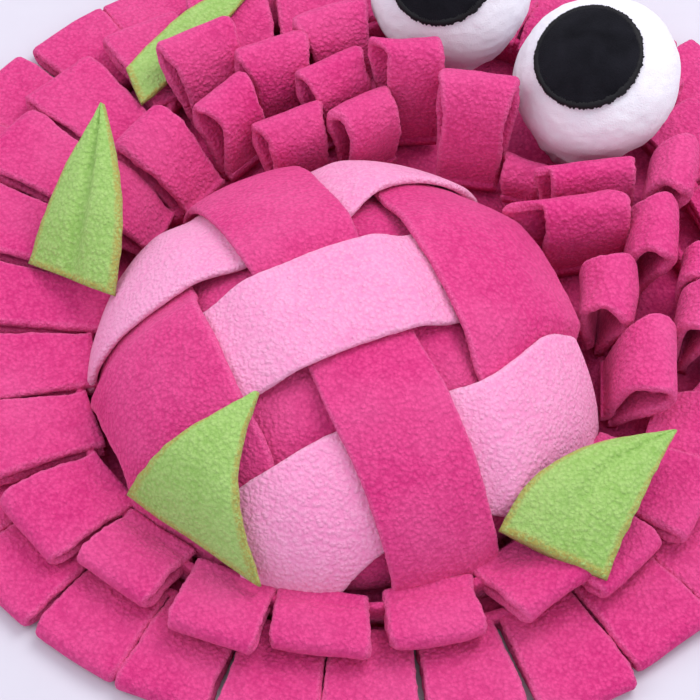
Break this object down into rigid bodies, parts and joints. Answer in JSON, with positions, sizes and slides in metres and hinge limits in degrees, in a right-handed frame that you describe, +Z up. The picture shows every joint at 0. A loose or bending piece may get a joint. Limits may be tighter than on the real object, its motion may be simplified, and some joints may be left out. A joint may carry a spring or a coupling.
{
  "type": "snuffle mat",
  "caption": "Round fleece snuffle mat for dogs with a padded woven dome, standing strip loops, a folded-strip rim, leaf flaps and two stuffed eyes, for hiding dry treats",
  "frame": {"origin": "on the floor, under the middle of the round backing", "axes": "+Z up; -Y is the side nearer the woven dome, +Y the side with the eyes"},
  "size_m": [0.433, 0.4257, 0.0832],
  "materials": {
    "hot_pink_fleece": "pebbled polar fleece",
    "light_pink_fleece": "pebbled polar fleece",
    "green_fleece": "pebbled polar fleece",
    "white_plush": "short plush",
    "black_plush": "short plush"
  },
  "bodies": {
    "root": {"backing": "hot_pink_fleece", "dome_cushion": "hot_pink_fleece", "eye_left": "white_plush", "eye_right": "white_plush", "leaf_front": "green_fleece", "leaf_head_left": "green_fleece", "leaf_head_right": "green_fleece", "leaf_left": "green_fleece", "leaf_right": "green_fleece", "loops_brow": "hot_pink_fleece", "loops_cheek": "hot_pink_fleece", "loops_crown": "hot_pink_fleece", "loops_left_inner": "hot_pink_fleece", "loops_left_outer": "hot_pink_fleece", "loops_left_side": "hot_pink_fleece", "loops_right_inner": "hot_pink_fleece", "loops_right_outer": "hot_pink_fleece", "pupil_left": "black_plush", "pupil_right": "black_plush", "rim_lower": "hot_pink_fleece", "rim_upper": "hot_pink_fleece", "weave_pale_back": "light_pink_fleece", "weave_pale_front": "light_pink_fleece", "weave_pale_middle": "light_pink_fleece", "weave_pink_back": "hot_pink_fleece", "weave_pink_front": "hot_pink_fleece", "weave_pink_middle": "hot_pink_fleece"}
  },
  "joints": []
}
